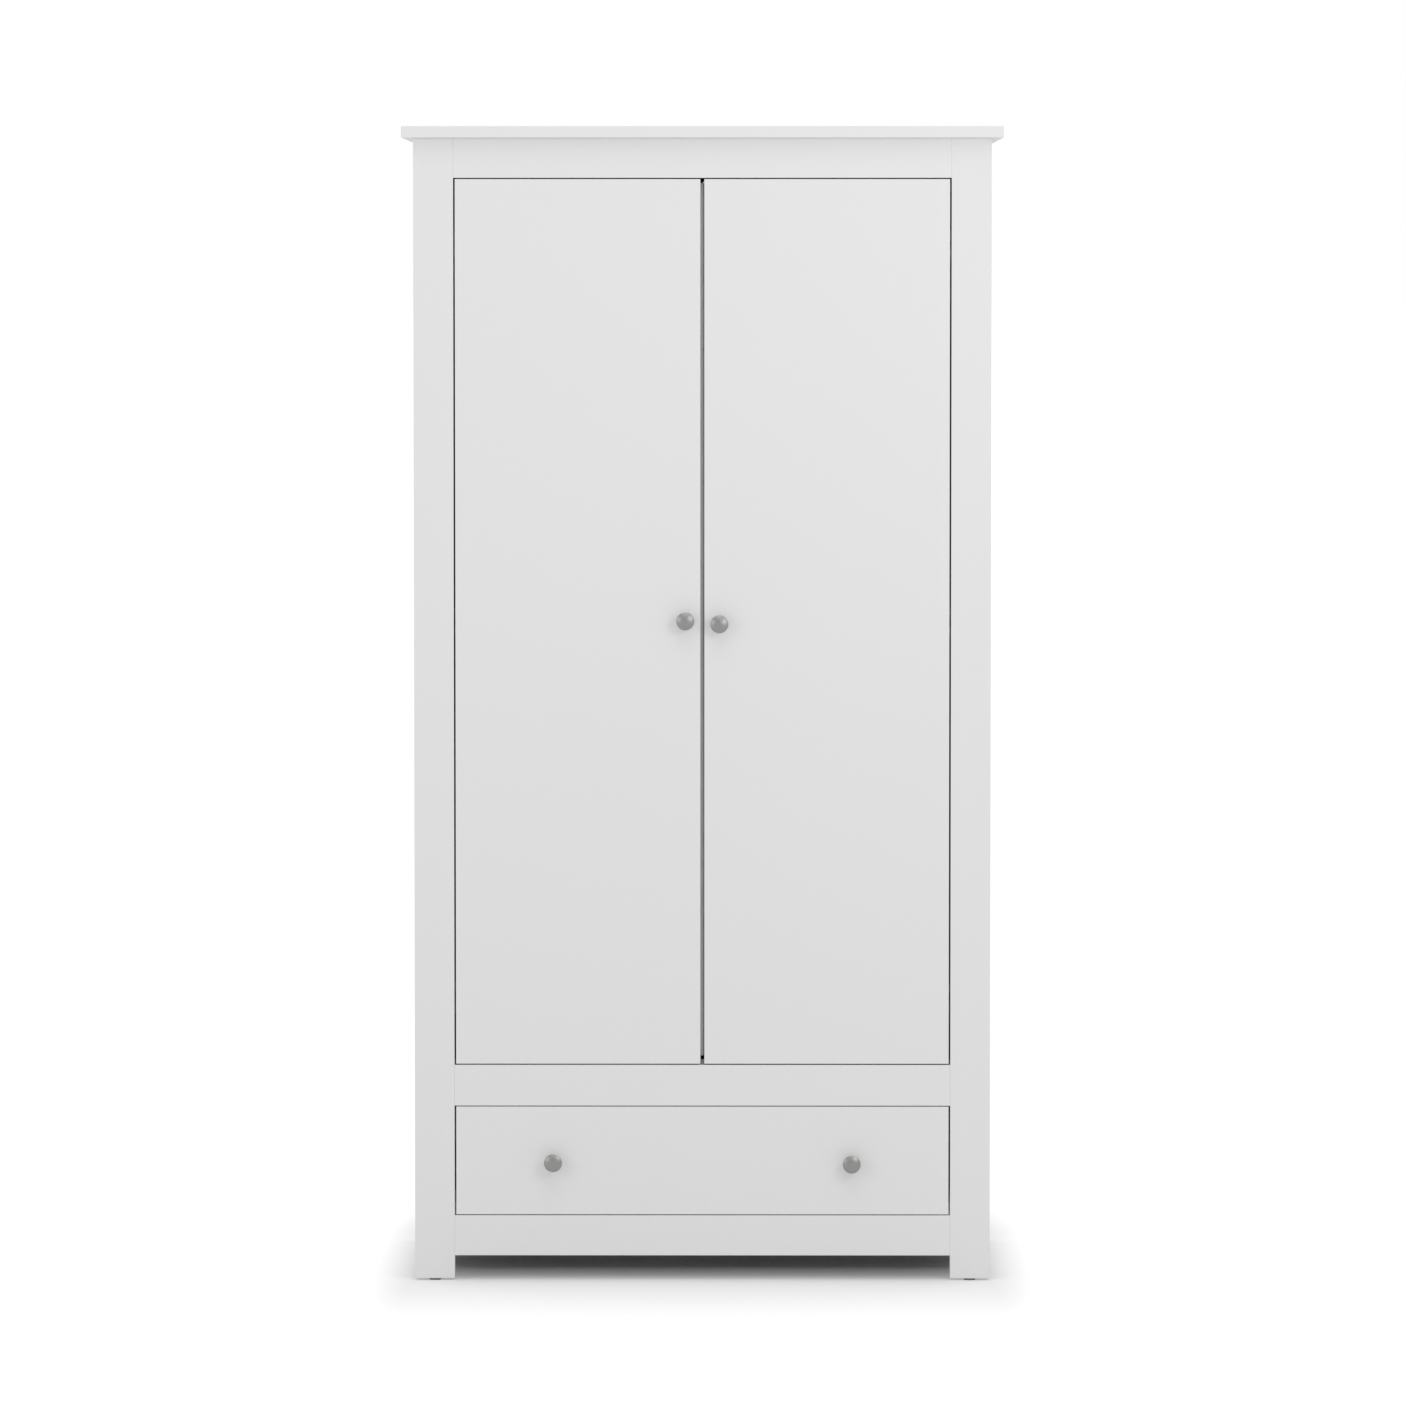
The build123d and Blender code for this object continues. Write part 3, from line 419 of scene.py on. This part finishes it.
# ---- stage -------------------------------------------------------------------
def floor():
    """A pale floor with a painted shadow round the wardrobe, which turns pure white a little way
    out.
    """
    mesh = bpy.data.meshes.new("studio_floor")
    built = bmesh.new()
    corners = [(-1, -1), (1, -1), (1, 1), (-1, 1)]
    built.faces.new([built.verts.new((x * FLOOR_REACH, y * FLOOR_REACH, 0)) for x, y in corners])
    built.to_mesh(mesh)
    built.free()
    mesh.materials.append(floor_material())
    piece = bpy.data.objects.new("studio_floor", mesh)
    bpy.context.scene.collection.objects.link(piece)


def distance_outside(s):
    """How far a point of the floor is outside the wardrobe, and negative under it.

    At the sides it grows faster than before and behind.
    """
    low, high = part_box("front_stile_left")[0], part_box("rear_leg_right")[1]
    offset = s.vector("ABSOLUTE", s.vector("SUBTRACT", s.place, (low + high) / 2))
    beyond = s.vector("SUBTRACT", offset, (high - low) / 2)
    beyond = s.vector("MULTIPLY", beyond, (FLOOR_FADE / FLOOR_SIDE_FADE, 1, 0))
    across, along = s.parts(beyond)[:2]
    inside = s.number("MINIMUM", s.number("MAXIMUM", across, along), 0.0)
    outside = s.length(s.vector("MAXIMUM", beyond, (0, 0, 0)))
    return s.number("ADD", outside, inside)


def floor_material():
    """Matt grey-white near the wardrobe and darker under it, a painted shadow over the real one,
    and glowing plain white around that shadow.
    """
    s = Shader("studio_floor")
    s.set(Roughness=FLOOR_ROUGHNESS)
    distance = distance_outside(s)
    # Painted shadow: the floor's own colour greys towards and under the wardrobe.
    shade = s.ranged(distance, *FLOOR_PAINTED_SHADOW_GREYS, -FLOOR_DARKEST_AT, 0)
    s.link(shade, s.surface.inputs["Base Color"])
    seen = s.node("ShaderNodeLightPath").outputs["Is Camera Ray"]
    glow = s.node("ShaderNodeEmission")
    s.link(s.ranged(seen, FLOOR_LIGHT, FLOOR_SEEN), glow.inputs["Strength"])
    blend = s.node("ShaderNodeMixShader")
    # The plain white glow fades out near the wardrobe, so that the painted and the real shadow
    # show there.
    s.link(s.ranged(distance, 0, 1, -FLOOR_FADE_IN, FLOOR_FADE), blend.inputs["Fac"])
    s.link(s.surface.outputs["BSDF"], blend.inputs[1])
    s.link(glow.outputs["Emission"], blend.inputs[2])
    s.link(blend.outputs["Shader"], s.output.inputs["Surface"])
    return s.material


def world():
    """A white background that lights the scene more softly than it looks."""
    sky = bpy.data.worlds.new("studio")
    sky.use_nodes = True
    tree = sky.node_tree
    tree.nodes.clear()
    out = tree.nodes.new("ShaderNodeOutputWorld")
    ray = tree.nodes.new("ShaderNodeLightPath")
    mix = tree.nodes.new("ShaderNodeMixShader")
    tree.links.new(ray.outputs["Is Camera Ray"], mix.inputs["Fac"])
    for socket, strength in enumerate((BACKGROUND_LIGHT, BACKGROUND_SEEN), start=1):
        white = tree.nodes.new("ShaderNodeBackground")
        white.inputs["Color"].default_value = (1, 1, 1, 1)
        white.inputs["Strength"].default_value = strength
        tree.links.new(white.outputs["Background"], mix.inputs[socket])
    tree.links.new(mix.outputs["Shader"], out.inputs["Surface"])
    bpy.context.scene.world = sky


def softbox(name, place, aim, size, power):
    """A square soft light that the camera doesn't see."""
    light = bpy.data.lights.new(name, "AREA")
    light.shape = "SQUARE"
    light.size = size
    light.energy = power
    lamp = bpy.data.objects.new(name, light)
    lamp.location = place
    lamp.rotation_mode = "QUATERNION"
    lamp.rotation_quaternion = (Vector(aim) - Vector(place)).to_track_quat("-Z", "Y")
    lamp.visible_camera = False
    bpy.context.scene.collection.objects.link(lamp)


def camera():
    """Far off, a little below the top and aimed at the middle of the front."""
    data = bpy.data.cameras.new("camera")
    data.sensor_width = SENSOR
    data.lens = SENSOR * EYE_DISTANCE / FRAME_WIDTH
    data.clip_end = FARTHEST_SEEN
    eye = bpy.data.objects.new("camera", data)
    aim = Vector((AIM_SIDE, FRONT, cad_high.z / 2 + AIM_LIFT))
    eye.location = (EYE_SIDE, FRONT - EYE_DISTANCE, EYE_HEIGHT)
    eye.rotation_mode = "QUATERNION"
    eye.rotation_quaternion = (aim - eye.location).to_track_quat("-Z", "Y")
    bpy.context.scene.collection.objects.link(eye)
    bpy.context.scene.camera = eye


dress_frame()
knobs()
floor()
world()
for name, setting in LIGHTS.items():
    softbox(name, *setting)
camera()
bpy.context.scene.view_settings.view_transform = "Standard"
